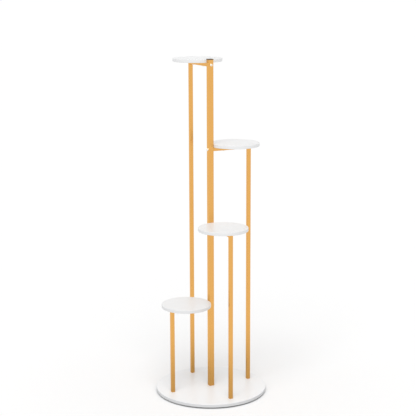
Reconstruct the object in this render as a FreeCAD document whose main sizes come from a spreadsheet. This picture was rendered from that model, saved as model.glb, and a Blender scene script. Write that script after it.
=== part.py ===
import FreeCAD, Part
import math
import os
import Sketcher
from FreeCAD import Placement, Rotation, Vector

# Tiered plant stand. Four round boards climb round a square centre post, a quarter turn and about
# 300 mm apart. Each board lies on an arm: the mitred top of a thinner outer post, drawn up against
# the centre post by one bolt through it. All five posts stand on a round base board with low pads.
#
# The origin is on the floor, under the centre post, with +Z up. Tier 1 is the lowest. A piece of a
# tier is drawn in that tier's own frame, with +X from the centre post out along the arm, and is then
# turned about the centre post to the tier's place.

DOC = FreeCAD.newDocument("tiered_plant_stand")
SHEET = DOC.addObject("Spreadsheet::Sheet", "Sizes")
TIERS = (1, 2, 3, 4)
TALL_TIERS = (3, 4)
SAME_PLACE = 1e-4  # mm, two levels or radii closer than this are the same
LEAST_CUT = 1e-3  # mm3, a cut that takes away less than this has missed

# Driving dimensions, in millimetres and degrees. Each is written here and nowhere else.
SIZES = (
    ("base_diameter", 410, "base board, across"),
    ("base_thickness", 12, "base board"),
    ("base_ease", 1.5, "easing of the base board's two edges"),
    ("pad_height", 5, "foot pad"),
    ("pad_diameter", 30, "foot pad"),
    ("pad_rim_inset", 18, "foot pad's edge to the base board's edge"),
    ("pad_count", 4, "foot pads under the base board"),
    ("pad_turn", 45, "first foot pad's direction from +X"),
    ("centre_tube", 19, "centre post, across its flats"),
    ("centre_wall", 1, "centre post's wall"),
    ("centre_round", 1.5, "centre post's outer corners"),
    ("centre_seam", 660, "centre post's seam above the base board"),
    ("outer_tube", 13, "outer posts and arms, across their flats"),
    ("outer_wall", 1, "outer posts' and arms' wall"),
    ("outer_round", 1.3, "outer posts' and arms' outer corners"),
    ("outer_seam", 605, "tall outer posts' seam above the base board"),
    ("ring_radius", 158.5, "outer posts' centres from the centre post's"),
    ("shelf_diameter", 182, "shelf, across"),
    ("shelf_thickness", 12, "shelf"),
    ("shelf_ease", 1.2, "easing of a shelf's two edges"),
    ("shelf_gap", 0.5, "shelf's edge to the centre post's face"),
    ("tier_1_rise", 332, "top of the lowest shelf above the base board"),
    ("tier_2_rise", 629, "top of the second shelf above the base board"),
    ("tier_3_rise", 917, "top of the third shelf above the base board"),
    ("tier_4_rise", 1222, "top of the highest shelf above the base board"),
    ("tier_1_turn", 180, "direction of the lowest arm from +X"),
    ("tier_2_turn", 270, "direction of the second arm from +X"),
    ("tier_3_turn", 0, "direction of the third arm from +X"),
    ("tier_4_turn", 90, "direction of the highest arm from +X"),
    ("bolt_shank", 6, "M6 bolts"),
    ("bolt_clearance", 0.6, "bolt hole over the bolt's shank, across"),
    ("bolt_head", 10.5, "bolt's round head, across"),
    ("bolt_head_depth", 3.3, "bolt's round head"),
    ("bolt_head_slope", 1.8, "sloping part of a bolt's head, in depth and width"),
    ("bolt_key", 4, "hexagon socket, across its flats"),
    ("bolt_key_depth", 2, "hexagon socket"),
    ("bolt_bite", 11, "bolt's reach into its threaded plug"),
    ("thread_clearance", 0.1, "threaded plug's bore over the bolt's shank, across"),
    ("arm_plug_length", 12, "threaded plug in an arm"),
    ("foot_plug_length", 15, "threaded plug in a post's foot"),
    ("plug_clearance", 0.1, "plug's side to the tube round it"),
    ("plug_chamfer", 0.8, "plug's corners and its leading edge"),
    ("washer_diameter", 16, "washer under a base bolt"),
    ("washer_thickness", 1.2, "washer under a base bolt"),
    ("recess_diameter", 20, "recess for a base bolt's head"),
    ("recess_depth", 5, "recess for a base bolt's head"),
    ("joiner_length", 80, "sleeve inside a seam"),
    ("joiner_wall", 1.2, "sleeve's wall"),
    ("joiner_clearance", 0.15, "sleeve's side to the tube round it"),
    ("joiner_chamfer", 0.8, "sleeve's corners"),
    ("weld_leg", 2.5, "weld in the inside corner of a mitre"),
    ("cap_flange", 3, "centre post's cap over the tube"),
    ("cap_ease", 1, "easing of the cap's top edges"),
    ("cap_wall", 1.5, "cap's skirt"),
    ("cap_clearance", 0.1, "cap's ribs to the tube round them"),
    ("cap_rib_depth", 0.7, "how far the cap's ribs stand out of its skirt"),
    ("cap_rib_thickness", 0.8, "cap's ribs"),
    ("cap_chamfer", 0.8, "corners of the cap's skirt and ribs"),
    ("cap_rib_count", 3, "cap's ribs"),
    ("cap_bolt_gap", 2, "cap's skirt to the highest arm bolt"),
    ("cut_overrun", 2, "how far a cutting shape reaches past the piece"),
)

# What follows from them.
DERIVED = (
    ("base_top", "pad_height + base_thickness"),
    ("pad_ring", "base_diameter / 2 - pad_rim_inset - pad_diameter / 2"),
    ("centre_half", "centre_tube / 2"),
    ("outer_half", "outer_tube / 2"),
    ("centre_bore", "centre_tube - 2 * centre_wall"),
    ("outer_bore", "outer_tube - 2 * outer_wall"),
    ("shelf_centre", "centre_half + shelf_gap + shelf_diameter / 2"),
    ("bolt_hole", "bolt_shank + bolt_clearance"),
    ("thread_bore", "bolt_shank + thread_clearance"),
    ("cap_skirt", "shelf_thickness + outer_half - bolt_shank / 2 - cap_bolt_gap"),
) + tuple(
    (f"tier_{tier}_seat", f"base_top + tier_{tier}_rise - shelf_thickness") for tier in TIERS
) + tuple(
    (f"tier_{tier}_bolt", f"tier_{tier}_seat - outer_half") for tier in TIERS
)


def fill_sheet():
    """Writes each size into its own cell, with its meaning beside it, and the values worked out below."""
    rows = [(name, str(value), meaning) for name, value, meaning in SIZES]
    rows += [(name, "=" + formula, "worked out") for name, formula in DERIVED]
    for row, (name, content, meaning) in enumerate(rows, start=1):
        SHEET.set(f"A{row}", meaning)
        SHEET.set(f"B{row}", content)
        SHEET.setAlias(f"B{row}", name)
    DOC.recompute()


def size(name):
    """A size's value, read from the sheet."""
    return float(SHEET.get(name))


def bound(formula):
    """A formula on the sheet's names, as an expression that an object's property can take."""
    names = [row[0] for row in SIZES] + [row[0] for row in DERIVED]
    words = []
    word = ""
    for letter in formula + " ":
        if letter.isalnum() or letter == "_":
            word += letter
            continue
        words.append("Sizes." + word if word in names else word)
        words.append(letter)
        word = ""
    return "".join(words).strip()


def value_of(formula):
    """A formula's value with the sheet's present sizes."""
    return float(SHEET.evalExpression(bound(formula)))


# Sketches


def sketch_on(body, plane, name, x="0", y="0", z="0"):
    """A sketch on one of the body's own origin planes, shifted in its own x, y and normal z."""
    sketch = body.newObject("Sketcher::SketchObject", name)
    support = next(feature for feature in body.Origin.OriginFeatures if feature.Role == plane)
    sketch.AttachmentSupport = [(support, "")]
    sketch.MapMode = "FlatFace"
    for axis, formula in (("x", x), ("y", y), ("z", z)):
        if formula != "0":
            sketch.setExpression(f"AttachmentOffset.Base.{axis}", bound(formula))
    return sketch


def dimension(sketch, kind, references, formula):
    """A dimension in a sketch, driven by a formula."""
    index = sketch.addConstraint(Sketcher.Constraint(kind, *references, value_of(formula)))
    sketch.setExpression(f"Constraints[{index}]", bound(formula))


def pin_point(sketch, geometry, position, x, y):
    """Fixes a point of a sketch by its distances from the sketch's origin."""
    for kind, formula, other_axis in (("DistanceX", x, -2), ("DistanceY", y, -1)):
        value = value_of(formula)
        if abs(value) < SAME_PLACE:
            sketch.addConstraint(Sketcher.Constraint("PointOnObject", geometry, position, other_axis))
        elif value > 0:
            dimension(sketch, kind, (-1, 1, geometry, position), formula)
        else:
            dimension(sketch, kind, (geometry, position, -1, 1), f"-({formula})")


def circle(sketch, diameter, x="0", y="0"):
    """A circle with a driven diameter and centre."""
    centre = Vector(value_of(x), value_of(y), 0)
    index = sketch.addGeometry(Part.Circle(centre, Vector(0, 0, 1), value_of(diameter) / 2))
    dimension(sketch, "Diameter", (index,), diameter)
    pin_point(sketch, index, 3, x, y)


def outline(sketch, corners):
    """A closed outline of straight edges through corners, each given by two formulas."""
    points = [Vector(value_of(x), value_of(y), 0) for x, y in corners]
    edges = [
        sketch.addGeometry(Part.LineSegment(point, following))
        for point, following in zip(points, points[1:] + points[:1])
    ]
    for edge, following in zip(edges, edges[1:] + edges[:1]):
        sketch.addConstraint(Sketcher.Constraint("Coincident", edge, 2, following, 1))
    for edge, (x, y) in zip(edges, corners):
        pin_point(sketch, edge, 1, x, y)


def rounded_square(sketch, side, corner):
    """A square with rounded corners, centred on the sketch's origin."""
    half = value_of(side) / 2
    radius = value_of(corner)
    flat = half - radius
    lines = []
    arcs = []
    for turn in range(4):
        spin = Rotation(Vector(0, 0, 1), 90 * turn)
        start = spin.multVec(Vector(-flat, -half, 0))
        end = spin.multVec(Vector(flat, -half, 0))
        lines.append(sketch.addGeometry(Part.LineSegment(start, end)))
        bend = Part.Circle(spin.multVec(Vector(flat, -flat, 0)), Vector(0, 0, 1), radius)
        sweep = math.radians(90 * turn - 90), math.radians(90 * turn)
        arcs.append(sketch.addGeometry(Part.ArcOfCircle(bend, *sweep)))
    for line, arc, following in zip(lines, arcs, lines[1:] + lines[:1]):
        sketch.addConstraint(Sketcher.Constraint("Tangent", line, 2, arc, 1))
        sketch.addConstraint(Sketcher.Constraint("Tangent", arc, 2, following, 1))
    for line in lines[0::2]:
        sketch.addConstraint(Sketcher.Constraint("Horizontal", line))
    for line in lines[1::2]:
        sketch.addConstraint(Sketcher.Constraint("Vertical", line))
    for arc in arcs[1:]:
        sketch.addConstraint(Sketcher.Constraint("Equal", arcs[0], arc))
    sketch.addConstraint(Sketcher.Constraint("Symmetric", lines[0], 1, lines[2], 1, -1, 1))
    dimension(sketch, "Radius", (arcs[0],), corner)
    dimension(sketch, "DistanceX", (lines[3], 1, lines[1], 1), side)
    dimension(sketch, "DistanceY", (lines[0], 1, lines[2], 1), side)


def square(sketch, side):
    """A square with sharp corners, centred on the sketch's origin."""
    half = f"({side}) / 2"
    outline(sketch, ((f"-{half}", f"-{half}"), (half, f"-{half}"), (half, half), (f"-{half}", half)))


def chamfered_square(sketch, side, chamfer):
    """A square with its corners cut off, centred on the sketch's origin."""
    half = f"({side}) / 2"
    flat = f"({half} - {chamfer})"
    outline(sketch, (
        (f"-{flat}", f"-{half}"),
        (flat, f"-{half}"),
        (half, f"-{flat}"),
        (half, flat),
        (flat, half),
        (f"-{flat}", half),
        (f"-{half}", flat),
        (f"-{half}", f"-{flat}"),
    ))


# Features


def new_body(label):
    """An empty body named for its piece."""
    body = DOC.addObject("PartDesign::Body", label)
    body.Label = label
    return body


def pad(body, sketch, length, symmetric=False, backwards=False):
    """Raises a sketch by a driven length."""
    feature = body.newObject("PartDesign::Pad", "Pad")
    feature.Profile = sketch
    feature.setExpression("Length", bound(length))
    feature.SideType = "Symmetric" if symmetric else "One side"
    feature.Reversed = backwards
    DOC.recompute()
    return feature


def cut(body, sketch, depth=None, backwards=False):
    """Cuts a sketch out of the body: right through both ways, or to a driven depth on one side."""
    feature = body.newObject("PartDesign::Pocket", "Pocket")
    feature.Profile = sketch
    if depth is None:
        feature.Type = "ThroughAll"
        feature.SideType = "Symmetric"
    else:
        feature.SideType = "One side"
        feature.setExpression("Length", bound(depth))
    feature.Reversed = backwards
    before = body.Tip.Shape.Volume if body.Tip is not feature else feature.BaseFeature.Shape.Volume
    DOC.recompute()
    if feature.Shape.Volume > before - LEAST_CUT:
        raise RuntimeError(f"{body.Label}: a cut removes nothing")
    return feature


def turn(body, sketch):
    """Revolves a sketch about its own upright axis."""
    feature = body.newObject("PartDesign::Revolution", "Revolution")
    feature.Profile = sketch
    feature.ReferenceAxis = (sketch, ["V_Axis"])
    DOC.recompute()
    return feature


def ease(body, test, amount):
    """A chamfer of a driven size on each edge of the body that passes the test."""
    base = body.Tip
    edges = [f"Edge{place}" for place, edge in enumerate(base.Shape.Edges, start=1) if test(edge)]
    feature = body.newObject("PartDesign::Chamfer", "Chamfer")
    feature.Base = (base, edges)
    feature.setExpression("Size", bound(amount))
    DOC.recompute()
    return feature


def lies_at(axis, formula):
    """A test for edges that lie flat at one height along an axis, 0 for X and 2 for Z."""
    level = value_of(formula)

    def test(edge):
        box = edge.BoundBox
        low = (box.XMin, box.YMin, box.ZMin)[axis]
        high = (box.XMax, box.YMax, box.ZMax)[axis]
        return abs(low - level) < SAME_PLACE and abs(high - level) < SAME_PLACE

    return test


def rim_at(formula, diameter):
    """A test for the circle of a given diameter at one height."""
    flat = lies_at(2, formula)
    radius = value_of(diameter) / 2

    def test(edge):
        return flat(edge) and hasattr(edge.Curve, "Radius") and abs(edge.Curve.Radius - radius) < SAME_PLACE

    return test


def turn_upright(piece, angle):
    """Turns a piece about the centre post by a driven angle."""
    # An unturned rotation has no axis to keep, so the piece starts a degree round from where it is drawn.
    piece.Placement = Placement(Vector(0, 0, 0), Rotation(Vector(0, 0, 1), 1))
    piece.setExpression("Placement.Rotation.Angle", bound(angle))


def set_place(piece, height, tier=None):
    """Raises a piece to its height and turns it about the centre post to its tier's direction."""
    piece.setExpression("Placement.Base.z", bound(height))
    if tier is not None:
        turn_upright(piece, f"tier_{tier}_turn")


# Shared forms


def tube(body, plane, kind, start, length, shift="0"):
    """A square tube, of the centre or outer kind, along the normal of a plane."""
    sketch = sketch_on(body, plane, "TubeSection", x=shift, z=start)
    rounded_square(sketch, f"{kind}_tube", f"{kind}_round")
    square(sketch, f"{kind}_bore")
    pad(body, sketch, length)


def cross_holes(body, low, high, start):
    """Bolt holes through an upright piece, wherever an arm bolt crosses it between two heights."""
    reach = size("bolt_hole") / 2
    for tier in TIERS:
        height = size(f"tier_{tier}_bolt")
        if height + reach <= value_of(low) or height - reach >= value_of(high):
            continue
        along_x = size(f"tier_{tier}_turn") % 180 == 0
        sketch = sketch_on(body, "YZ_Plane" if along_x else "XZ_Plane", "BoltHole")
        circle(sketch, "bolt_hole", y=f"tier_{tier}_bolt - ({start})")
        cut(body, sketch)


def joiner(label, kind, seam, height, drilled, tier=None):
    """The sleeve inside a seam, half of it in each length of the post."""
    body = new_body(label)
    shift = "0" if tier is None else "ring_radius"
    sketch = sketch_on(body, "XY_Plane", "SleeveSection", x=shift)
    side = f"{kind}_bore - 2 * joiner_clearance"
    chamfered_square(sketch, side, "joiner_chamfer")
    chamfered_square(sketch, f"{side} - 2 * joiner_wall", "joiner_chamfer")
    pad(body, sketch, "joiner_length")
    start = f"base_top + {seam} - joiner_length / 2"
    if drilled:
        cross_holes(body, start, f"{start} + joiner_length", start)
    set_place(body, height, tier)
    return body


def threaded_plug(label, plane, kind, length, start="0", shift="0"):
    """A square plug with a bolt's thread through it, which fills the end of a tube."""
    body = new_body(label)
    sketch = sketch_on(body, plane, "PlugSection", x=shift, z=start)
    chamfered_square(sketch, f"{kind}_bore - 2 * plug_clearance", "plug_chamfer")
    pad(body, sketch, length)
    far_end = lies_at(0 if plane == "YZ_Plane" else 2, f"{start} + {length}")
    ease(body, far_end, "plug_chamfer")
    bore = sketch_on(body, plane, "Thread", x=shift, z=start)
    circle(bore, "thread_bore")
    cut(body, bore)
    return body


def hexagon(sketch, across):
    """A hexagon of a driven width across its flats, round the sketch's origin."""
    corner = f"{across} / sqrt(3)"
    side = f"{across} / 2"
    outline(sketch, (
        (corner, "0"),
        (f"{corner} / 2", side),
        (f"-{corner} / 2", side),
        (f"-{corner}", "0"),
        (f"-{corner} / 2", f"-{side}"),
        (f"{corner} / 2", f"-{side}"),
    ))


def round_head_bolt(label, shank, shift="0"):
    """A bolt that points up, with the seat of its button head at z = 0 and a hexagon socket below."""
    body = new_body(label)
    profile = sketch_on(body, "XZ_Plane", "HalfSection", x=shift)
    outline(profile, (
        ("0", "-bolt_head_depth"),
        ("bolt_head / 2 - bolt_head_slope", "-bolt_head_depth"),
        ("bolt_head / 2", "bolt_head_slope - bolt_head_depth"),
        ("bolt_head / 2", "0"),
        ("bolt_shank / 2", "0"),
        ("bolt_shank / 2", shank),
        ("0", shank),
    ))
    turn(body, profile)
    socket = sketch_on(body, "XY_Plane", "Socket", x=shift, z="-bolt_head_depth")
    hexagon(socket, "bolt_key")
    cut(body, socket, "bolt_key_depth", backwards=True)
    return body


def washer(label, shift="0"):
    """A flat washer, lying on z = 0."""
    body = new_body(label)
    sketch = sketch_on(body, "XY_Plane", "Ring", x=shift)
    circle(sketch, "washer_diameter")
    circle(sketch, "bolt_hole")
    pad(body, sketch, "washer_thickness")
    return body


def group(label, copies):
    """One piece name for like pieces: each copy is a pattern body, a height and a tier's direction."""
    links = []
    for pattern, height, tier in copies:
        link = DOC.addObject("App::Link", f"{label}_copy")
        link.LinkedObject = pattern
        set_place(link, height, tier)
        links.append(link)
    compound = DOC.addObject("Part::Compound", label)
    compound.Label = label
    compound.Links = links
    return compound


# Pieces


def base_board():
    """The round base board, with a bolt hole under each post and a recess below it for the head."""
    body = new_body("base_board")
    sketch = sketch_on(body, "XY_Plane", "Disc")
    circle(sketch, "base_diameter")
    pad(body, sketch, "base_thickness")
    rims = [rim_at(level, "base_diameter") for level in ("0", "base_thickness")]
    ease(body, lambda edge: any(rim(edge) for rim in rims), "base_ease")
    for name, diameter, depth in (
        ("BoltHoles", "bolt_hole", "base_thickness"),
        ("HeadRecesses", "recess_diameter", "recess_depth"),
    ):
        holes = sketch_on(body, "XY_Plane", name)
        circle(holes, diameter)
        for x, y in ((1, 0), (0, 1), (-1, 0), (0, -1)):
            circle(holes, diameter, x=f"{x} * ring_radius", y=f"{y} * ring_radius")
        cut(body, holes, depth, backwards=True)
    set_place(body, "pad_height")
    return body


def foot_pads():
    """Low round pads under the base board, the first one drawn and the rest a polar pattern of it."""
    body = new_body("foot_pads")
    body.AllowCompound = True
    sketch = sketch_on(body, "XY_Plane", "Disc", x="pad_ring")
    circle(sketch, "pad_diameter")
    first = pad(body, sketch, "pad_height")
    pattern = body.newObject("PartDesign::PolarPattern", "PadRing")
    pattern.Originals = [first]
    pattern.Axis = (next(f for f in body.Origin.OriginFeatures if f.Role == "Z_Axis"), [""])
    pattern.Angle = 360
    pattern.setExpression("Occurrences", bound("pad_count"))
    body.Tip = pattern
    turn_upright(body, "pad_turn")
    DOC.recompute()
    return body


def centre_post():
    """The centre post's two lengths, drilled for the arm bolts that cross them, and its sleeve."""
    lower = new_body("centre_post_lower")
    tube(lower, "XY_Plane", "centre", "0", "centre_seam")
    cross_holes(lower, "base_top", "base_top + centre_seam", "base_top")
    set_place(lower, "base_top")
    upper = new_body("centre_post_upper")
    tube(upper, "XY_Plane", "centre", "0", "tier_4_rise - centre_seam")
    cross_holes(upper, "base_top + centre_seam", "base_top + tier_4_rise", "base_top + centre_seam")
    set_place(upper, "base_top + centre_seam")
    height = "base_top + centre_seam - joiner_length / 2"
    sleeve = joiner("centre_post_joiner", "centre", "centre_seam", height, drilled=True)
    return [lower, upper, sleeve]


def centre_post_cap():
    """The cap in the centre post's open top: an eased flange over a ribbed, hollow skirt."""
    body = new_body("centre_post_cap")
    flange = sketch_on(body, "XY_Plane", "Flange")
    rounded_square(flange, "centre_tube", "centre_round")
    pad(body, flange, "cap_flange")
    ease(body, lies_at(2, "cap_flange"), "cap_ease")
    skirt_side = "centre_bore - 2 * cap_clearance - 2 * cap_rib_depth"
    skirt = sketch_on(body, "XY_Plane", "Skirt")
    chamfered_square(skirt, skirt_side, "cap_chamfer")
    pad(body, skirt, "cap_skirt", backwards=True)
    rib = sketch_on(body, "XY_Plane", "Rib", z="-cap_skirt / (cap_rib_count + 1)")
    chamfered_square(rib, "centre_bore - 2 * cap_clearance", "cap_chamfer")
    first_rib = pad(body, rib, "cap_rib_thickness", backwards=True)
    ribs = body.newObject("PartDesign::LinearPattern", "Ribs")
    ribs.Originals = [first_rib]
    ribs.Direction = (next(f for f in body.Origin.OriginFeatures if f.Role == "Z_Axis"), [""])
    ribs.Reversed = True
    ribs.setExpression("Occurrences", bound("cap_rib_count"))
    ribs.setExpression("Length", bound("cap_skirt * (cap_rib_count - 1) / (cap_rib_count + 1)"))
    body.Tip = ribs
    DOC.recompute()
    hollow = sketch_on(body, "XY_Plane", "Hollow")
    chamfered_square(hollow, f"{skirt_side} - 2 * cap_wall", "cap_chamfer")
    cut(body, hollow, "cap_skirt")
    set_place(body, "base_top + tier_4_rise")
    return body


def post_head(body, top):
    """Cuts the mitre on a post's top end, rising outwards from the arm's underside."""
    sketch = sketch_on(body, "XZ_Plane", "Mitre", x="ring_radius")
    edge = "(outer_half + cut_overrun)"
    outline(sketch, (
        (f"-{edge}", f"{top} - outer_tube - cut_overrun"),
        (edge, f"{top} + cut_overrun"),
        (f"-{edge}", f"{top} + cut_overrun"),
    ))
    cut(body, sketch)


def outer_post(tier):
    """A tier's outer post, with its mitred head: one length, or two with a sleeve on the tall tiers."""
    full = f"tier_{tier}_rise - shelf_thickness"
    if tier not in TALL_TIERS:
        post = new_body(f"tier_{tier}_post")
        tube(post, "XY_Plane", "outer", "0", full, shift="ring_radius")
        post_head(post, f"({full})")
        set_place(post, "base_top", tier)
        return [post]
    lower = new_body(f"tier_{tier}_post_lower")
    tube(lower, "XY_Plane", "outer", "0", "outer_seam", shift="ring_radius")
    set_place(lower, "base_top", tier)
    upper = new_body(f"tier_{tier}_post_upper")
    tube(upper, "XY_Plane", "outer", "0", f"{full} - outer_seam", shift="ring_radius")
    post_head(upper, f"({full} - outer_seam)")
    set_place(upper, "base_top + outer_seam", tier)
    height = "base_top + outer_seam - joiner_length / 2"
    sleeve = joiner(f"tier_{tier}_post_joiner", "outer", "outer_seam", height, drilled=False, tier=tier)
    return [lower, upper, sleeve]


def arm(tier):
    """A tier's arm: a tube that butts on the centre post and is mitred and welded on the outer post."""
    body = new_body(f"tier_{tier}_arm")
    tube(body, "YZ_Plane", "outer", "centre_half", "ring_radius + outer_half - centre_half")
    mitre = sketch_on(body, "XZ_Plane", "Mitre", x="ring_radius")
    edge = "(outer_half + cut_overrun)"
    outline(mitre, ((f"-{edge}", f"-{edge}"), (edge, f"-{edge}"), (edge, edge)))
    cut(body, mitre)
    weld = sketch_on(body, "XZ_Plane", "Weld", x="ring_radius")
    outline(weld, (
        ("-outer_half", "-outer_half"),
        ("-outer_half - weld_leg", "-outer_half"),
        ("-outer_half", "-outer_half - weld_leg"),
    ))
    pad(body, weld, "outer_tube - 2 * outer_round", symmetric=True)
    set_place(body, f"tier_{tier}_bolt", tier)
    return body


def shelf(tier):
    """A tier's round board, which lies on the arm and stops just short of the centre post."""
    body = new_body(f"tier_{tier}_shelf")
    disc = sketch_on(body, "XY_Plane", "Disc", x="shelf_centre")
    circle(disc, "shelf_diameter")
    pad(body, disc, "shelf_thickness")
    rims = [rim_at(level, "shelf_diameter") for level in ("0", "shelf_thickness")]
    ease(body, lambda edge: any(rim(edge) for rim in rims), "shelf_ease")
    set_place(body, f"tier_{tier}_seat", tier)
    return body


def arm_bolt_pattern():
    """An arm bolt in its tier's frame: it lies along +X, head on the centre post's far face."""
    upright = round_head_bolt("arm_bolt_upright", "centre_tube + bolt_bite")
    lying = DOC.addObject("App::Link", "arm_bolt_lying")
    lying.LinkedObject = upright
    lying.Placement = Placement(Vector(0, 0, 0), Rotation(Vector(0, 1, 0), 90))
    lying.setExpression("Placement.Base.x", bound("-centre_half"))
    pattern = DOC.addObject("Part::Compound", "arm_bolt_pattern")
    pattern.Links = [lying]
    return pattern


def fasteners():
    """The groups of like fasteners, plugs and washers, one copy for each place that takes one."""
    arm_bolt = arm_bolt_pattern()
    arm_plug = threaded_plug("arm_plug", "YZ_Plane", "outer", "arm_plug_length", start="centre_half")
    foot_plug = threaded_plug("foot_plug", "XY_Plane", "outer", "foot_plug_length", shift="ring_radius")
    centre_plug = threaded_plug("centre_post_foot_plug", "XY_Plane", "centre", "foot_plug_length")
    set_place(centre_plug, "base_top")
    shank = "base_thickness - recess_depth + washer_thickness + bolt_bite"
    base_bolts = [round_head_bolt("centre_base_bolt", shank)]
    base_bolts.append(round_head_bolt("outer_base_bolt", shank, shift="ring_radius"))
    washers = [washer("centre_washer"), washer("outer_washer", shift="ring_radius")]
    washer_level = "pad_height + recess_depth - washer_thickness"
    return [
        centre_plug,
        group("arm_bolts", [(arm_bolt, f"tier_{tier}_bolt", tier) for tier in TIERS]),
        group("arm_plugs", [(arm_plug, f"tier_{tier}_bolt", tier) for tier in TIERS]),
        group("outer_post_foot_plugs", [(foot_plug, "base_top", tier) for tier in TIERS]),
        group("base_bolts", [(base_bolts[0], washer_level, None)] + [
            (base_bolts[1], washer_level, tier) for tier in TIERS
        ]),
        group("base_washers", [(washers[0], washer_level, None)] + [
            (washers[1], washer_level, tier) for tier in TIERS
        ]),
    ]


def check_and_write(pieces):
    """Stops at any failed object or bad shape, then writes each piece to its own file."""
    DOC.recompute()
    for thing in DOC.Objects:
        if "Invalid" in thing.State or "Error" in thing.State:
            raise RuntimeError(f"{thing.Label} is in state {thing.State}")
    for piece in pieces:
        if piece.Shape.isNull() or not piece.Shape.isValid() or not piece.Shape.Solids:
            raise RuntimeError(f"{piece.Label} has no valid solid")
    os.makedirs("parts", exist_ok=True)
    for piece in pieces:
        piece.Shape.exportStep(os.path.join("parts", f"{piece.Label}.step"))
        print(f"{piece.Label}: {len(piece.Shape.Solids)} solid(s), {piece.Shape.Volume:.0f} mm3")


def main():
    fill_sheet()
    pieces = [base_board(), foot_pads()]
    pieces += centre_post()
    pieces.append(centre_post_cap())
    for tier in TIERS:
        pieces += outer_post(tier)
        pieces.append(arm(tier))
        pieces.append(shelf(tier))
    pieces += fasteners()
    check_and_write(pieces)


main()
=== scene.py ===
import math

import bpy
from bpy.props import FloatProperty, FloatVectorProperty, IntProperty, PointerProperty
from mathutils import Matrix, Vector


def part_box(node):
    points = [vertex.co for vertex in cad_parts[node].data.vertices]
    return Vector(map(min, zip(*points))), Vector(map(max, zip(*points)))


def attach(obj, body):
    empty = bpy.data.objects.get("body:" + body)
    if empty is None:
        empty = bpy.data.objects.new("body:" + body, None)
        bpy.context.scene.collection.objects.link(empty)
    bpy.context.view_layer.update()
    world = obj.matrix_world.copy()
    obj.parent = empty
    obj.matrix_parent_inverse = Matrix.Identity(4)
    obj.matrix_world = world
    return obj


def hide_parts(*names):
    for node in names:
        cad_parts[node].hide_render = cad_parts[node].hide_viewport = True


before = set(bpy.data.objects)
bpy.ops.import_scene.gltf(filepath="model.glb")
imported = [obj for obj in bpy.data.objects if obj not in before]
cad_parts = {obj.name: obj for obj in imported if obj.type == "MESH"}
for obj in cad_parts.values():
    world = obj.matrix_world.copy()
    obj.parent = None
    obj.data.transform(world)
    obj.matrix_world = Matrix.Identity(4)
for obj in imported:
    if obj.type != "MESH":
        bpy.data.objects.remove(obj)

bl_info = {
    "name": "Tiered Plant Stand",
    "version": (1, 0, 0),
    "blender": (4, 5, 0),
    "location": "View3D > Sidebar > Plant Stand",
    "description": "Boards, fasteners and finishes of a tiered plant stand, made round its frame",
    "category": "Object",
}

# A tiered plant stand: four round white shelves climb round a square gold centre post on a round
# white base board. The tubes, and the fittings hidden inside them, are the frame's own. The boards,
# the cap, the foot pads and all the fasteners are made here, where the frame has plainer ones.
#
# Lengths are metres. The origin is on the floor under the centre post, with +Z up.

MM = 0.001
HAIR = 1e-5  # two places closer than this are the same
QUARTER_TURN = math.pi / 2
BLACK = (0, 0, 0)
WHITE = (1, 1, 1)
BODY = "root"
TIERS = (1, 2, 3, 4)
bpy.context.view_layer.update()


# Places read from the frame


def extent(node):
    """The size of a node's box along X, Y and Z."""
    low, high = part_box(node)
    return high - low


def middle(node):
    """The middle of a node's box."""
    low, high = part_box(node)
    return (low + high) / 2


OUTER_TUBE = min(extent("tier_1_post").x, extent("tier_1_post").y)
CENTRE_TUBE = extent("centre_post_lower").x
RING_RADIUS = abs(middle("tier_1_post").x)
BASE_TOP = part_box("base_board")[1].z
BASE_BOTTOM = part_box("base_board")[0].z


def arm_level(tier):
    """The height of an arm's middle: its top carries the shelf, and it is one tube deep."""
    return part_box(f"tier_{tier}_arm")[1].z - OUTER_TUBE / 2


def outwards(tier):
    """The direction in which a tier's arm points, as an angle from +X."""
    centre = middle(f"tier_{tier}_shelf")
    return round(math.atan2(centre.y, centre.x) / QUARTER_TURN) * QUARTER_TURN


def turned(angle):
    """A turn about the Z axis, on which the centre post stands."""
    return Matrix.Rotation(angle, 4, "Z")


def along_arm(tier, reach, height=0):
    """A place so far out from the Z axis in the direction of a tier's arm, and turned with it."""
    return turned(outwards(tier)) @ Matrix.Translation((reach, 0, height))


def post_feet():
    """The places of the five posts: the centre post, then the outer ones from the lowest tier up."""
    return [Matrix.Identity(4), *(along_arm(tier, RING_RADIUS) for tier in TIERS)]


# Settings


class BoardSettings(bpy.types.PropertyGroup):
    """The round white boards."""

    # Painted light and shade: the base board's white is lighter and cooler than the shelves' to stand
    # in for the light that the shelves and posts keep off it and the warm light the gold throws on
    # it; the shelves' white is darker to stand in for shade from pots that are not modelled.
    base_white_painted_light: FloatVectorProperty(
        name="Base colour", description="Colour of the base board's white lacquer", subtype="COLOR",
        default=(0.91, 0.92, 0.93), min=0, max=1,
    )
    shelf_colour: FloatVectorProperty(
        name="Shelf colour", description="Colour of the shelves' white lacquer", subtype="COLOR",
        default=(0.845, 0.85, 0.855), min=0, max=1,
    )
    roughness: FloatProperty(
        name="Roughness", description="Roughness of the satin lacquer", subtype="FACTOR",
        default=0.36, min=0, max=1,
    )
    base_rounding: FloatProperty(
        name="Base rounding", description="Rounding of the base board's top edge", unit="LENGTH",
        default=1.8 * MM, min=0,
    )
    base_easing: FloatProperty(
        name="Base easing", description="Rounding of the base board's lower edge", unit="LENGTH",
        default=0.8 * MM, min=0,
    )
    shelf_rounding: FloatProperty(
        name="Shelf rounding", description="Rounding of the shelves' edges", unit="LENGTH",
        default=1.5 * MM, min=0,
    )


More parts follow.
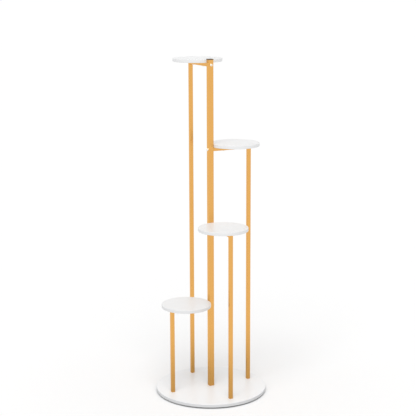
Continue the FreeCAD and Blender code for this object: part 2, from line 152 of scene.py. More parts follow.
class TubeSettings(bpy.types.PropertyGroup):
    """The gold tubes."""

    colour: FloatVectorProperty(
        name="Colour", description="Colour of the gold plate", subtype="COLOR",
        default=(0.80, 0.43, 0.125), min=0, max=1,
    )
    edge_colour: FloatVectorProperty(
        name="Edge colour", description="Tint of the gold plate where it is seen at a slant",
        subtype="COLOR", default=(0.97, 0.89, 0.72), min=0, max=1,
    )
    roughness: FloatProperty(
        name="Roughness", description="Roughness of the satin gold", subtype="FACTOR",
        default=0.26, min=0, max=1,
    )
    # Painted shade: the next two settings darken the gold towards each post's foot, standing in for
    # dark reflections and shade low on the posts.
    foot_shade_height: FloatProperty(
        name="Foot height", description="How far up a post its tone deepens towards its foot",
        unit="LENGTH", default=240 * MM, min=0,
    )
    foot_shade_depth: FloatProperty(
        name="Foot depth", description="How much the tone deepens at a post's foot",
        subtype="FACTOR", default=0.26, min=0, max=1,
    )
    weld_radius: FloatProperty(
        name="Weld radius", description="Half the width of the bead under a mitre", unit="LENGTH",
        default=2.6 * MM, min=0,
    )
    weld_ripples: IntProperty(
        name="Weld ripples", description="Ripples along the bead under a mitre", default=9, min=2,
    )


class HardwareSettings(bpy.types.PropertyGroup):
    """The bolts, washers and screws."""

    colour: FloatVectorProperty(
        name="Colour", description="Colour of the bright nickel plate", subtype="COLOR",
        default=(0.88, 0.82, 0.71), min=0, max=1,
    )
    shank: FloatProperty(
        name="Bolt", description="Diameter of a bolt's shank", unit="LENGTH", default=6 * MM, min=0,
    )
    head: FloatProperty(
        name="Bolt head", description="Diameter of a bolt's head", unit="LENGTH",
        default=10.5 * MM, min=0,
    )
    head_depth: FloatProperty(
        name="Head depth", description="How far a bolt's head stands proud", unit="LENGTH",
        default=3.3 * MM, min=0,
    )
    key: FloatProperty(
        name="Key", description="Hexagon socket, across its flats", unit="LENGTH",
        default=4 * MM, min=0,
    )
    screw_head: FloatProperty(
        name="Screw head", description="Diameter of a shelf screw's head", unit="LENGTH",
        default=8 * MM, min=0,
    )
    screw_inner: FloatProperty(
        name="Inner screw", description="Inner shelf screw from the centre post's face",
        unit="LENGTH", default=45 * MM, min=0,
    )
    screw_outer: FloatProperty(
        name="Outer screw", description="Outer shelf screw from the outer post's inner face",
        unit="LENGTH", default=14 * MM, min=0,
    )


class StageSettings(bpy.types.PropertyGroup):
    """The camera and the light."""

    distance: FloatProperty(
        name="Distance", description="Camera from the centre post, along the floor", unit="LENGTH",
        default=4.1699, min=0,
    )
    offset: FloatProperty(
        name="Offset", description="Camera to the left of the centre post", unit="LENGTH",
        default=0.0089,
    )
    height: FloatProperty(
        name="Height", description="Camera above the floor", unit="LENGTH", default=1.5511,
    )
    heading: FloatProperty(
        name="Heading", description="Direction of view, clockwise from +Y", subtype="ANGLE",
        default=math.radians(26.756),
    )
    tilt: FloatProperty(
        name="Tilt", description="How far the camera looks down", subtype="ANGLE",
        default=math.radians(11.552),
    )
    roll: FloatProperty(
        name="Roll", description="Camera's turn about its own axis", subtype="ANGLE",
        default=math.radians(-0.214),
    )
    lens: FloatProperty(
        name="Lens", description="Focal length in millimetres", default=100.61, min=1,
    )
    sky: FloatProperty(
        name="Sky", description="Strength of the even light from all round", default=0.6, min=0,
    )
    key_light: FloatProperty(
        name="Key light", description="Strength of the soft light from the front",
        default=1.54, min=0,
    )


class PlantStandSettings(bpy.types.PropertyGroup):
    """All the settings of the plant stand."""

    boards: PointerProperty(type=BoardSettings)
    tubes: PointerProperty(type=TubeSettings)
    hardware: PointerProperty(type=HardwareSettings)
    stage: PointerProperty(type=StageSettings)


# Node trees


class Signal:
    """The output of a shader node. Arithmetic on it adds Math nodes."""

    def __init__(self, nodes, socket):
        self.nodes = nodes
        self.socket = socket

    def math(self, operation, first, second):
        return self.nodes.node("ShaderNodeMath", {"operation": operation}, {0: first, 1: second})

    def __add__(self, other):
        return self.math("ADD", self, other)

    def __sub__(self, other):
        return self.math("SUBTRACT", self, other)

    def __rsub__(self, other):
        return self.math("SUBTRACT", other, self)

    def __mul__(self, other):
        return self.math("MULTIPLY", self, other)

    __radd__ = __add__
    __rmul__ = __mul__


class Nodes:
    """The nodes of a material or a world that is being made."""

    def __init__(self, owner):
        owner.use_nodes = True
        self.tree = owner.node_tree

    def found(self, kind):
        """The node of one kind that a new tree comes with."""
        return next(node for node in self.tree.nodes if node.type == kind)

    def node(self, kind, settings, sockets, output=0):
        """A new node: its settings, then its sockets' values or links. Gives one of its outputs."""
        node = self.tree.nodes.new(kind)
        for name, value in settings.items():
            setattr(node, name, value)
        for name, value in sockets.items():
            self.feed(node.inputs[name], value)
        return Signal(self, node.outputs[output])

    def feed(self, socket, value):
        """Sets a socket, or links a signal to it."""
        if isinstance(value, Signal):
            self.tree.links.new(value.socket, socket)
        else:
            socket.default_value = value

    def in_view(self):
        """1 to the camera and in reflections, and 0 to all other light."""
        to_camera = self.node("ShaderNodeLightPath", {}, {}, "Is Camera Ray")
        in_reflections = self.node("ShaderNodeLightPath", {}, {}, "Is Glossy Ray")
        return to_camera + in_reflections


class Finish(Nodes):
    """A material being made, with the point being shaded, in metres in the stand's frame."""

    def __init__(self, name):
        self.material = bpy.data.materials.new(name)
        super().__init__(self.material)
        self.shader = self.found("BSDF_PRINCIPLED")
        self.point = self.node("ShaderNodeTexCoord", {}, {}, "Object")

    def set(self, **sockets):
        """Sets or links the shader's sockets, named in lower case with underscores."""
        named = {socket.name.lower().replace(" ", "_"): socket for socket in self.shader.inputs}
        for name, value in sockets.items():
            self.feed(named[name], value)

    def noise(self, scale, detail=2.0, roughness=0.5, point=None):
        """Soft noise from 0 to 1, around 0.5, with so many blots to the metre."""
        place = point or self.point
        sockets = {"Vector": place, "Scale": scale, "Detail": detail, "Roughness": roughness}
        return self.node("ShaderNodeTexNoise", {}, sockets, "Fac")

    def cells(self, scale):
        """Rounded cells, so many to the metre: 0 in the middle of each, and more towards its edge."""
        sockets = {"Vector": self.point, "Scale": scale}
        return self.node("ShaderNodeTexVoronoi", {}, sockets, "Distance")

    def stretched(self, scale):
        """The point with each axis scaled by itself, for a grain that runs one way."""
        return self.node("ShaderNodeMapping", {}, {"Vector": self.point, "Scale": scale})

    def eased(self, value, start, end, low=0, high=1):
        """A value brought from one range into another, gently at both ends."""
        sockets = {
            "Value": value, "From Min": start, "From Max": end, "To Min": low, "To Max": high,
        }
        return self.node("ShaderNodeMapRange", {"interpolation_type": "SMOOTHSTEP"}, sockets)

    def blend(self, factor, first, second):
        """One colour changing to another."""
        sockets = {0: factor, 6: (*first, 1), 7: (*second, 1)}
        return self.node("ShaderNodeMix", {"data_type": "RGBA"}, sockets, 2)

    def multiply(self, factor, colour, tint):
        """A colour multiplied by a tint, as far as the factor says."""
        settings = {"data_type": "RGBA", "blend_type": "MULTIPLY"}
        return self.node("ShaderNodeMix", settings, {0: factor, 6: colour, 7: (*tint, 1)}, 2)

    def bump(self, height, depth, strength):
        """A normal that follows a height of 0 to 1, so many metres deep."""
        sockets = {"Strength": strength, "Distance": depth, "Height": height}
        return self.node("ShaderNodeBump", {}, sockets)


# Finishes. A roughness is written as its lowest value, and what each pattern adds to it.


def shade(colour, amount):
    """A colour made lighter or darker."""
    return tuple(min(1.0, channel * amount) for channel in colour)


def white_lacquer(name, colour, roughness):
    """Satin white lacquer: the faintest mottling and the orange peel of a sprayed board."""
    finish = Finish(name)
    mottling = finish.noise(scale=14, detail=3)
    peel = finish.noise(scale=420, detail=1)
    grain = finish.noise(scale=2600, detail=2)
    finish.set(
        base_color=finish.blend(mottling, shade(colour, 0.985), shade(colour, 1.01)),
        roughness=roughness - 0.05 + 0.07 * mottling + 0.04 * grain,
        normal=finish.bump(peel * 0.8 + grain * 0.2, depth=0.03 * MM, strength=0.5),
    )
    return finish.material


def satin_gold(name, settings, along):
    """Satin gold plate on drawn tube, with fine lines along the x, y or z axis, and painted shade
    that darkens each post towards its foot.
    """
    finish = Finish(name)
    lines_to_the_metre = [12 if axis == along else 1500 for axis in "xyz"]
    lines = finish.noise(scale=1, detail=3, point=finish.stretched(lines_to_the_metre))
    clouds = finish.noise(scale=9, detail=2)
    grain = finish.noise(scale=3000, detail=1)
    dull = shade(settings.colour, 0.96)
    bright = shade(settings.colour, 1.03)
    plate = finish.blend(clouds * 0.6 + lines * 0.4, dull, bright)
    height = finish.node("ShaderNodeSeparateXYZ", {}, {"Vector": finish.point}, "Z")
    # Painted shade: the gold's colour darkens towards the base board, standing in for dark
    # reflections and shade near the floor.
    foot = finish.eased(height, start=BASE_TOP + settings.foot_shade_height, end=BASE_TOP)
    finish.set(
        base_color=finish.multiply(foot * settings.foot_shade_depth, plate, BLACK),
        metallic=1.0,
        specular_tint=(*settings.edge_colour, 1),
        roughness=settings.roughness - 0.09 + 0.09 * lines + 0.05 * clouds + 0.04 * grain,
        normal=finish.bump(lines * 0.5 + grain * 0.5, depth=0.012 * MM, strength=0.6),
    )
    return finish.material


def bright_nickel(settings):
    """Bright nickel plate, with a little haze: one finish that all the fasteners share."""
    shared = bpy.data.materials.get("bright_nickel")
    if shared:
        return shared
    finish = Finish("bright_nickel")
    haze = finish.noise(scale=260, detail=3)
    finish.set(
        base_color=finish.blend(haze, shade(settings.colour, 0.95), shade(settings.colour, 1.02)),
        metallic=1.0,
        roughness=0.14 + 0.14 * haze,
        normal=finish.bump(finish.noise(scale=1800), depth=0.006 * MM, strength=0.5),
    )
    return finish.material


def zinc_plate():
    """Dull zinc on the fittings inside the tubes, with its spangle."""
    finish = Finish("zinc_plate")
    spangle = finish.cells(scale=500)
    finish.set(
        base_color=finish.blend(spangle, (0.50, 0.50, 0.52), (0.62, 0.62, 0.63)),
        metallic=1.0,
        roughness=0.36 + 0.2 * spangle,
        normal=finish.bump(spangle, depth=0.01 * MM, strength=0.4),
    )
    return finish.material


def black_plastic():
    """Moulded black plastic with a fine spark-eroded grain."""
    finish = Finish("black_plastic")
    grain = finish.noise(scale=1400, detail=3, roughness=0.6)
    finish.set(
        base_color=finish.blend(grain, (0.016, 0.016, 0.017), (0.032, 0.032, 0.034)),
        roughness=0.3 + 0.2 * grain,
        normal=finish.bump(grain, depth=0.05 * MM, strength=0.7),
    )
    return finish.material


def foam_rubber():
    """Matt black foam rubber, full of tiny pores."""
    finish = Finish("foam_rubber")
    pores = finish.cells(scale=1100)
    finish.set(
        base_color=finish.blend(pores, (0.012, 0.012, 0.012), (0.05, 0.05, 0.052)),
        roughness=0.82 + 0.12 * pores,
        normal=finish.bump(pores, depth=0.2 * MM, strength=0.8),
    )
    return finish.material


def dress(piece, material):
    """Gives a piece one finish all over."""
    if piece.material_slots:
        for slot in piece.material_slots:
            slot.material = material
    else:
        piece.data.materials.append(material)


# Modelling


def activate(piece):
    """Makes a piece the only one selected."""
    bpy.ops.object.select_all(action="DESELECT")
    piece.select_set(True)
    bpy.context.view_layer.objects.active = piece


def added(name):
    """Names the primitive that was just added, and fixes its place and size in its mesh."""
    piece = bpy.context.object
    piece.name = name
    piece.data.name = name
    bpy.ops.object.transform_apply(location=True, rotation=True, scale=True)
    return piece


def rod(name, radius, low, high, sides):
    """Upright round stock on the Z axis, between two heights."""
    bpy.ops.object.select_all(action="DESELECT")
    bpy.ops.mesh.primitive_cylinder_add(
        vertices=sides, radius=radius, depth=high - low, location=(0, 0, (low + high) / 2),
    )
    return added(name)


def block(name, size, centre):
    """Square stock of one size, about one centre."""
    bpy.ops.object.select_all(action="DESELECT")
    bpy.ops.mesh.primitive_cube_add(size=1, location=centre, scale=size)
    return added(name)


def unpick(piece, kind):
    """Leaves nothing picked on a piece, with edges or faces (EDGE or FACE) to be picked next."""
    activate(piece)
    bpy.ops.object.mode_set(mode="EDIT")
    bpy.ops.mesh.select_mode(type=kind)
    bpy.ops.mesh.select_all(action="DESELECT")
    bpy.ops.object.mode_set(mode="OBJECT")


def pick_edges(piece, test):
    """Opens a piece with only the edges selected whose two ends pass a test."""
    unpick(piece, "EDGE")
    points = piece.data.vertices
    for edge in piece.data.edges:
        edge.select = test(*(points[end].co for end in edge.vertices))
    bpy.ops.object.mode_set(mode="EDIT")


def pick_faces(piece, test):
    """Opens a piece with only the faces selected that pass a test."""
    unpick(piece, "FACE")
    for face in piece.data.polygons:
        face.select = test(face)
    bpy.ops.object.mode_set(mode="EDIT")


def close():
    """Ends work on the piece that is open."""
    bpy.ops.object.mode_set(mode="OBJECT")


def level_at(*heights):
    """A test for edges that lie level at one of some heights."""
    return lambda a, b: any(abs(a.z - z) < HAIR and abs(b.z - z) < HAIR for z in heights)


def upright(a, b):
    """A test for edges that climb."""
    return abs(a.z - b.z) > HAIR


def facing(direction, height):
    """A test for faces that look straight up or down (1 or -1) and lie at a height."""
    return lambda face: face.normal.z * direction > 0.99 and abs(face.center.z - height) < HAIR


def extrude(x, y, z):
    """Extrudes the picked faces by so much along X, Y and Z."""
    bpy.ops.mesh.extrude_region_move(TRANSFORM_OT_translate={"value": (x, y, z)})


def resize(x, y, z):
    """Scales what is picked about the origin, by so much along X, Y and Z."""
    bpy.ops.transform.resize(value=(x, y, z), center_override=(0, 0, 0))


def widen(scale):
    """Extrudes the picked face where it is, then widens or narrows it about the Z axis."""
    extrude(0, 0, 0)
    resize(scale, scale, 1)


def round_over(piece, test, radius, segments=5):
    """Rounds the edges of a piece that pass a test."""
    pick_edges(piece, test)
    bpy.ops.mesh.bevel(
        offset=radius, offset_type="OFFSET", segments=segments, profile=0.5, affect="EDGES",
    )
    close()


def apply(piece, kind, **settings):
    """Adds a modifier to a piece and applies it."""
    activate(piece)
    modifier = piece.modifiers.new(kind.title(), kind)
    for name, value in settings.items():
        setattr(modifier, name, value)
    bpy.ops.object.modifier_apply(modifier=modifier.name)


def carve(piece, cutter):
    """Cuts one shape out of a piece, and throws the cutter away."""
    apply(piece, "BOOLEAN", operation="DIFFERENCE", solver="EXACT", object=cutter)
    scrap(cutter)


def copy_to(piece, name, place):
    """A copy of a piece with its own mesh, moved and turned by a matrix."""
    twin = piece.copy()
    twin.data = piece.data.copy()
    twin.name = name
    twin.data.name = name
    bpy.context.scene.collection.objects.link(twin)
    twin.data.transform(place)
    return twin


def joined(name, pieces):
    """Several shells made one piece."""
    activate(pieces[0])
    for piece in pieces[1:]:
        piece.select_set(True)
    bpy.ops.object.join()
    whole = bpy.context.object
    whole.name = name
    whole.data.name = name
    return whole


def smooth(piece, angle=35):
    """Smooths a piece over its gentle edges, and keeps its flats flat."""
    activate(piece)
    bpy.ops.object.shade_smooth_by_angle(angle=math.radians(angle))
    apply(piece, "WEIGHTED_NORMAL", weight=100, keep_sharp=True)


def scrap(*pieces):
    """Throws away cutters, and what was only modelled to be copied."""
    for piece in pieces:
        bpy.data.objects.remove(piece)


def fit(piece, material, slot, *nodes):
    """Finishes a piece: its material, its body and the nodes that it stands for. The slot is not
    used.
    """
    dress(piece, material)
    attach(piece, BODY)
    if nodes:
        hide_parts(*nodes)


# Boards

BOARD_SIDES = 256  # round a board's edge
RECESS_RADIUS = 10 * MM
BOLT_CLEARANCE = 0.3 * MM  # all round a bolt's shank, in the base board and in a washer


class PLANTSTAND_OT_base_board(bpy.types.Operator):
    """The round base board, with a recess under each post for a bolt's head"""

    bl_idname = "plantstand.base_board"
    bl_label = "Base board"

    def execute(self, context):
        settings = context.scene.plant_stand.boards
        radius = max(extent("base_board").xy) / 2
        piece = rod("white_base_board", radius, BASE_BOTTOM, BASE_TOP, BOARD_SIDES)
        round_over(piece, level_at(BASE_TOP), settings.base_rounding)
        round_over(piece, level_at(BASE_BOTTOM), settings.base_easing)
        recess = recess_cutter(context.scene.plant_stand.hardware)
        cutters = [copy_to(recess, f"recess_{count}", foot) for count, foot in enumerate(post_feet())]
        scrap(recess)
        carve(piece, joined("recesses", cutters))
        smooth(piece)
        # Painted light: the base board's white is made lighter and cooler than the shelves'.
        material = white_lacquer("white_lacquer_base", settings.base_white_painted_light, settings.roughness)
        fit(piece, material, "white_board", "base_board")
        return {"FINISHED"}


def recess_cutter(hardware):
    """The space for a bolt under the base board: a wide recess, then a hole right through."""
    spare = 1 * MM
    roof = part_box("base_washers")[1].z
    cutter = rod("recess", RECESS_RADIUS, BASE_BOTTOM - spare, roof, sides=48)
    pick_faces(cutter, facing(1, roof))
    bpy.ops.mesh.inset(thickness=RECESS_RADIUS - hardware.shank / 2 - BOLT_CLEARANCE)
    extrude(0, 0, BASE_TOP - roof + spare)
    close()
    return cutter


class PLANTSTAND_OT_shelves(bpy.types.Operator):
    """The four round shelves"""

    bl_idname = "plantstand.shelves"
    bl_label = "Shelves"

    def execute(self, context):
        settings = context.scene.plant_stand.boards
        size = extent("tier_1_shelf")
        pattern = rod("shelf", max(size.xy) / 2, 0, size.z, BOARD_SIDES)
        round_over(pattern, level_at(0, size.z), settings.shelf_rounding)
        smooth(pattern)
        # Painted shade: the shelves' white is made darker than the base board's.
        material = white_lacquer("white_lacquer_shelf", settings.shelf_colour, settings.roughness)
        for tier in TIERS:
            node = f"tier_{tier}_shelf"
            low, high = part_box(node)
            place = Matrix.Translation(((low.x + high.x) / 2, (low.y + high.y) / 2, low.z))
            fit(copy_to(pattern, f"white_shelf_{tier}", place), material, "white_board", node)
        scrap(pattern)
        return {"FINISHED"}


# Tubes

WELD_MARGIN = 0.8 * MM  # of plain tube at each end of a bead
WELD_WAIST = 0.95  # a bead's width between two ripples, as a part of its width on them


class PLANTSTAND_OT_tubes(bpy.types.Operator):
    """The gold finish of the posts and arms, with its lines along each tube"""

    bl_idname = "plantstand.tubes"
    bl_label = "Tubes"

    def execute(self, context):
        settings = context.scene.plant_stand.tubes
        on_posts = satin_gold("satin_gold_upright", settings, "z")
        on_arms = {axis: satin_gold(f"satin_gold_level_{axis}", settings, axis) for axis in "xy"}
        for name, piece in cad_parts.items():
            if name.endswith(("_post", "_post_lower", "_post_upper")):
                dress(piece, on_posts)
        for tier in TIERS:
            size = extent(f"tier_{tier}_arm")
            dress(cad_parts[f"tier_{tier}_arm"], on_arms["x" if size.x > size.y else "y"])
        return {"FINISHED"}


class PLANTSTAND_OT_welds(bpy.types.Operator):
    """The rippled weld bead in the inside corner under each mitre"""

    bl_idname = "plantstand.welds"
    bl_label = "Welds"

    def execute(self, context):
        settings = context.scene.plant_stand.tubes
        pattern = weld_bead(settings)
        material = satin_gold("satin_gold_weld", settings, "z")
        reach = RING_RADIUS - OUTER_TUBE / 2
        for tier in TIERS:
            corner = along_arm(tier, reach, height=arm_level(tier) - OUTER_TUBE / 2)
            fit(copy_to(pattern, f"weld_bead_{tier}", corner), material, "gold_tube")
        scrap(pattern)
        return {"FINISHED"}


def weld_bead(settings):
    """A bead along Y about the origin: its section is extruded from ripple to ripple."""
    length = OUTER_TUBE - 2 * WELD_MARGIN
    end_radius = settings.weld_radius * 0.8
    swells = [1 / WELD_WAIST, WELD_WAIST] * settings.weld_ripples
    swells[0] = 1.2  # out of the narrow first section
    swells[-1] = 0.8  # into the narrow last one
    bpy.ops.object.select_all(action="DESELECT")
    bpy.ops.mesh.primitive_circle_add(
        vertices=28, radius=end_radius, fill_type="NGON",
        location=(0, -length / 2, 0), rotation=(QUARTER_TURN, 0, 0),
    )
    bead = added("weld_bead")
    pick_faces(bead, lambda face: True)
    for swell in swells:
        extrude(0, length / len(swells), 0)
        resize(swell, 1, swell)
    bpy.ops.mesh.select_all(action="SELECT")
    bpy.ops.mesh.normals_make_consistent(inside=False)
    close()
    smooth(bead, angle=50)
    return bead


# Cap

TUBE_WALL = 1 * MM
CAP_OVERHANG = 0.4 * MM  # of the flange, past each face of the tube
CAP_CORNER = 1.5 * MM  # rounding of the flange's upright edges
CAP_EDGE = 1.2 * MM  # rounding of its top edge
CAP_TOP = 1 * MM  # left solid between the flange and the hollow in the skirt
RIBS = 3
RIB_HEIGHT = 0.8 * MM
RIB_CLEARANCE = 0.1 * MM  # from the tube's inside to a rib
SKIRT_CLEARANCE = 0.8 * MM  # from the tube's inside to the skirt between the ribs
SKIRT_WALL = 1.5 * MM


class PLANTSTAND_OT_post_cap(bpy.types.Operator):
    """The black cap in the top of the centre post: a rounded flange over a ribbed skirt"""

    bl_idname = "plantstand.post_cap"
    bl_label = "Post cap"

    def execute(self, context):
        low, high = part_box("centre_post_cap")
        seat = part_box("centre_post_upper")[1].z
        flange = CENTRE_TUBE + 2 * CAP_OVERHANG
        bore = CENTRE_TUBE - 2 * TUBE_WALL
        over_ribs = bore - 2 * RIB_CLEARANCE
        skirt = bore - 2 * SKIRT_CLEARANCE
        hollow = skirt - 2 * SKIRT_WALL
        gap = (seat - low.z - RIBS * RIB_HEIGHT) / (RIBS + 1)
        piece = block("black_post_cap", (flange, flange, high.z - seat), (0, 0, (high.z + seat) / 2))
        round_over(piece, upright, CAP_CORNER, segments=6)
        round_over(piece, level_at(high.z), CAP_EDGE)
        pick_faces(piece, facing(-1, seat))
        widen(skirt / flange)
        for count in range(RIBS):
            extrude(0, 0, -gap)
            widen(over_ribs / skirt)
            extrude(0, 0, -RIB_HEIGHT)
            widen(skirt / over_ribs)
        extrude(0, 0, -gap)
        widen(hollow / skirt)
        extrude(0, 0, seat - low.z - CAP_TOP)
        close()
        smooth(piece, angle=40)
        fit(piece, black_plastic(), "black_plastic", "centre_post_cap")
        return {"FINISHED"}


# Fasteners


def raise_shank(piece, margin, length, point):
    """Draws a shank up out of the flat seat of a head, and slopes its tip."""
    pick_faces(piece, facing(1, 0))
    bpy.ops.mesh.inset(thickness=margin)
    extrude(0, 0, length)
    close()
    round_over(piece, level_at(length), point, segments=1)


def button_bolt(name, hardware, shank_length):
    """A bolt that points up, with the seat of its domed head at z = 0 and a hexagon socket below."""
    top = -hardware.head_depth
    dome = hardware.head_depth * 0.74
    socket_depth = hardware.head_depth * 0.6
    bolt = rod(name, hardware.head / 2, top, 0, sides=64)
    round_over(bolt, level_at(top), dome, segments=8)
    raise_shank(bolt, (hardware.head - hardware.shank) / 2, shank_length, point=0.8 * MM)
    key = rod("key", hardware.key / math.sqrt(3), top - socket_depth, top + socket_depth, sides=6)
    carve(bolt, key)
    smooth(bolt, angle=30)
    return bolt


def washer(name, hardware, thickness):
    """A flat washer with softened edges, lying on z = 0."""
    radius = 8 * MM
    bore_radius = hardware.shank / 2 + BOLT_CLEARANCE
    softening = 0.2 * MM
    ring = rod(name, radius, 0, thickness, sides=72)
    carve(ring, rod("bore", bore_radius, -thickness, 2 * thickness, sides=48))
    round_over(ring, level_at(0, thickness), softening, segments=2)
    smooth(ring, angle=30)
    return ring


class PLANTSTAND_OT_arm_bolts(bpy.types.Operator):
    """The bright round-headed bolts, through the centre post into each arm"""

    bl_idname = "plantstand.arm_bolts"
    bl_label = "Arm bolts"

    def execute(self, context):
        hardware = context.scene.plant_stand.hardware
        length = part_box("arm_bolts")[1].x + CENTRE_TUBE / 2
        pattern = button_bolt("arm_bolt", hardware, length)
        material = bright_nickel(hardware)
        lying = Matrix.Rotation(QUARTER_TURN, 4, "Y")
        for tier in TIERS:
            place = along_arm(tier, -CENTRE_TUBE / 2, height=arm_level(tier)) @ lying
            fit(copy_to(pattern, f"arm_bolt_{tier}", place), material, "bright_hardware", "arm_bolts")
        scrap(pattern)
        return {"FINISHED"}


class PLANTSTAND_OT_base_bolts(bpy.types.Operator):
    """The bolts and washers under the base board, one under each post"""

    bl_idname = "plantstand.base_bolts"
    bl_label = "Base bolts"

    def execute(self, context):
        hardware = context.scene.plant_stand.hardware
        low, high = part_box("base_bolts")
        seat = low.z + hardware.head_depth
        bolt = button_bolt("base_bolt", hardware, high.z - seat)
        ring = washer("base_washer", hardware, extent("base_washers").z)
        material = bright_nickel(hardware)
        for count, foot in enumerate(post_feet()):
            place = foot @ Matrix.Translation((0, 0, seat))
            each_bolt = copy_to(bolt, f"base_bolt_{count}", place)
            fit(each_bolt, material, "bright_hardware", "base_bolts")
            each_washer = copy_to(ring, f"base_washer_{count}", place)
            fit(each_washer, material, "bright_hardware", "base_washers")
        scrap(bolt, ring)
        return {"FINISHED"}


class PLANTSTAND_OT_shelf_screws(bpy.types.Operator):
    """The two cross-recessed screws under each arm, which hold its shelf"""

    bl_idname = "plantstand.shelf_screws"
    bl_label = "Shelf screws"

    def execute(self, context):
        hardware = context.scene.plant_stand.hardware
        pattern = pan_screw(hardware)
        material = bright_nickel(hardware)
        reaches = {
            "inner": CENTRE_TUBE / 2 + hardware.screw_inner,
            "outer": RING_RADIUS - OUTER_TUBE / 2 - hardware.screw_outer,
        }
        for tier in TIERS:
            for side, reach in reaches.items():
                place = along_arm(tier, reach, height=arm_level(tier) - OUTER_TUBE / 2)
                screw = copy_to(pattern, f"shelf_screw_{tier}_{side}", place)
                fit(screw, material, "bright_hardware")
        scrap(pattern)
        return {"FINISHED"}


def pan_screw(hardware):
    """A pan-headed screw that points up, with its seat at z = 0 and a cross recess below."""
    head_radius = hardware.screw_head / 2
    head_depth = 2.4 * MM
    head_rounding = 1.6 * MM
    shank_radius = 2 * MM
    length = OUTER_TUBE + 9 * MM
    slot = (3.6 * MM, 0.9 * MM)
    slot_height = 3 * MM
    screw = rod("shelf_screw", head_radius, -head_depth, 0, sides=48)
    round_over(screw, level_at(-head_depth), head_rounding)
    raise_shank(screw, head_radius - shank_radius, length, point=1.8 * MM)
    for across in (slot, reversed(slot)):
        carve(screw, block("slot", (*across, slot_height), (0, 0, -head_depth)))
    smooth(screw, angle=30)
    return screw


# Feet and fittings


class PLANTSTAND_OT_foot_pads(bpy.types.Operator):
    """The four low pads under the base board"""

    bl_idname = "plantstand.foot_pads"
    bl_label = "Foot pads"

    def execute(self, context):
        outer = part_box("foot_pads")[1]
        radius = 15 * MM
        rounding = 1 * MM
        reach = math.hypot(outer.x - radius, outer.y - radius)
        pattern = rod("pad", radius, 0, outer.z, sides=96)
        round_over(pattern, level_at(0), rounding, segments=4)
        smooth(pattern)
        material = foam_rubber()
        for count in range(4):
            place = turned((count + 0.5) * QUARTER_TURN) @ Matrix.Translation((reach, 0, 0))
            fit(copy_to(pattern, f"foot_pad_{count + 1}", place), material, "foot_pad", "foot_pads")
        scrap(pattern)
        return {"FINISHED"}


class PLANTSTAND_OT_hidden_fittings(bpy.types.Operator):
    """The zinc finish of the threaded plugs and the sleeves inside the tubes"""

    bl_idname = "plantstand.hidden_fittings"
    bl_label = "Hidden fittings"

    def execute(self, context):
        material = zinc_plate()
        for name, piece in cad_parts.items():
            if name.endswith(("_plug", "_plugs", "_joiner")):
                dress(piece, material)
        return {"FINISHED"}


# Stage


def white_floor():
    """A wide floor, white in view but for a faint painted shadow round the base board, and painted
    darker there for the light that it sends back.
    """
    bpy.ops.object.select_all(action="DESELECT")
    bpy.ops.mesh.primitive_plane_add(size=300)
    floor = added("floor")
    paint = Finish("white_floor")
    whitening = 0.96  # how far the camera and reflections see the darker part brought back to white
    from_centre = paint.node(
        "ShaderNodeVectorMath", {"operation": "LENGTH"}, {0: paint.point}, "Value",
    )
    # Painted shade: near the base board the floor is darker, a faint painted shadow to the camera and
    # in reflections, and a dark patch standing in for shade to all other light.
    painted_floor_shade = paint.eased(from_centre, start=0.3, end=0.9, low=0.35, high=0.9)
    white = painted_floor_shade + whitening * (1 - painted_floor_shade) * paint.in_view()
    paint.set(
        base_color=paint.blend(white, BLACK, WHITE),
        roughness=1.0,
        specular_ior_level=0.0,
    )
    dress(floor, paint.material)


def white_world(strength):
    """Even light from all round, which the camera and reflections see as plain white."""
    world = bpy.data.worlds.new("white_world")
    sky = Nodes(world)
    light = sky.found("BACKGROUND")
    sky.feed(light.inputs["Color"], (*WHITE, 1))
    sky.feed(light.inputs["Strength"], strength)
    lit = Signal(sky, light.outputs[0])
    plain = sky.node("ShaderNodeBackground", {}, {"Color": (*WHITE, 1)})
    mix = sky.node("ShaderNodeMixShader", {}, {0: sky.in_view(), 1: lit, 2: plain})
    sky.feed(sky.found("OUTPUT_WORLD").inputs["Surface"], mix)
    bpy.context.scene.world = world


def soft_sun(name, strength, spread, azimuth, elevation):
    """A distant soft lamp. Its azimuth is where it stands, seen from the object, from +X."""
    lamp = bpy.data.lights.new(name, "SUN")
    lamp.energy = strength
    lamp.angle = math.radians(spread)
    holder = bpy.data.objects.new(name, lamp)
    rise = math.radians(elevation)
    towards = turned(math.radians(azimuth)) @ Vector((math.cos(rise), 0, math.sin(rise)))
    holder.rotation_euler = towards.to_track_quat("Z", "Y").to_euler()
    bpy.context.scene.collection.objects.link(holder)


def place_camera(settings):
    """The camera, at the photograph's angle."""
    lens = bpy.data.cameras.new("camera")
    lens.lens = settings.lens
    lens.sensor_width = 36
    lens.clip_end = 1000
    camera = bpy.data.objects.new("camera", lens)
    heading = turned(-settings.heading)
    stand_at = heading @ Vector((-settings.offset, -settings.distance, settings.height))
    tilt = Matrix.Rotation(QUARTER_TURN - settings.tilt, 4, "X")
    camera.matrix_world = Matrix.Translation(stand_at) @ heading @ tilt @ turned(settings.roll)
    bpy.context.scene.collection.objects.link(camera)
    bpy.context.scene.camera = camera


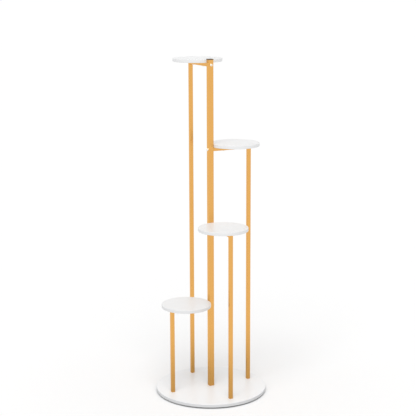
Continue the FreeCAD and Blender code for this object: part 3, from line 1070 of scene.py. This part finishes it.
class PLANTSTAND_OT_stage(bpy.types.Operator):
    """The white floor with its painted shadow round the base board, the soft light and the camera"""

    bl_idname = "plantstand.stage"
    bl_label = "Stage"

    def execute(self, context):
        settings = context.scene.plant_stand.stage
        white_floor()
        white_world(settings.sky)
        soft_sun("key_light", settings.key_light, spread=45, azimuth=237, elevation=57)
        context.scene.view_settings.view_transform = "Standard"
        place_camera(settings)
        return {"FINISHED"}


# Add-on


MAKERS = (
    PLANTSTAND_OT_base_board,
    PLANTSTAND_OT_shelves,
    PLANTSTAND_OT_tubes,
    PLANTSTAND_OT_welds,
    PLANTSTAND_OT_post_cap,
    PLANTSTAND_OT_arm_bolts,
    PLANTSTAND_OT_base_bolts,
    PLANTSTAND_OT_shelf_screws,
    PLANTSTAND_OT_foot_pads,
    PLANTSTAND_OT_hidden_fittings,
    PLANTSTAND_OT_stage,
)


class PLANTSTAND_PT_panel(bpy.types.Panel):
    """Everything that makes the plant stand"""

    bl_idname = "PLANTSTAND_PT_panel"
    bl_label = "Plant Stand"
    bl_space_type = "VIEW_3D"
    bl_region_type = "UI"
    bl_category = "Plant Stand"

    def draw(self, context):
        settings = context.scene.plant_stand
        for group in (settings.boards, settings.tubes, settings.hardware, settings.stage):
            box = self.layout.box()
            for name in group.__annotations__:
                box.prop(group, name)
        for maker in MAKERS:
            self.layout.operator(maker.bl_idname)


CLASSES = (
    BoardSettings,
    TubeSettings,
    HardwareSettings,
    StageSettings,
    PlantStandSettings,
    *MAKERS,
    PLANTSTAND_PT_panel,
)


def register():
    for each in CLASSES:
        bpy.utils.register_class(each)
    bpy.types.Scene.plant_stand = PointerProperty(type=PlantStandSettings)


def unregister():
    del bpy.types.Scene.plant_stand
    for each in reversed(CLASSES):
        bpy.utils.unregister_class(each)


def main():
    register()
    bpy.ops.plantstand.base_board()
    bpy.ops.plantstand.shelves()
    bpy.ops.plantstand.tubes()
    bpy.ops.plantstand.welds()
    bpy.ops.plantstand.post_cap()
    bpy.ops.plantstand.arm_bolts()
    bpy.ops.plantstand.base_bolts()
    bpy.ops.plantstand.shelf_screws()
    bpy.ops.plantstand.foot_pads()
    bpy.ops.plantstand.hidden_fittings()
    bpy.ops.plantstand.stage()


if __name__ == "__main__":
    main()
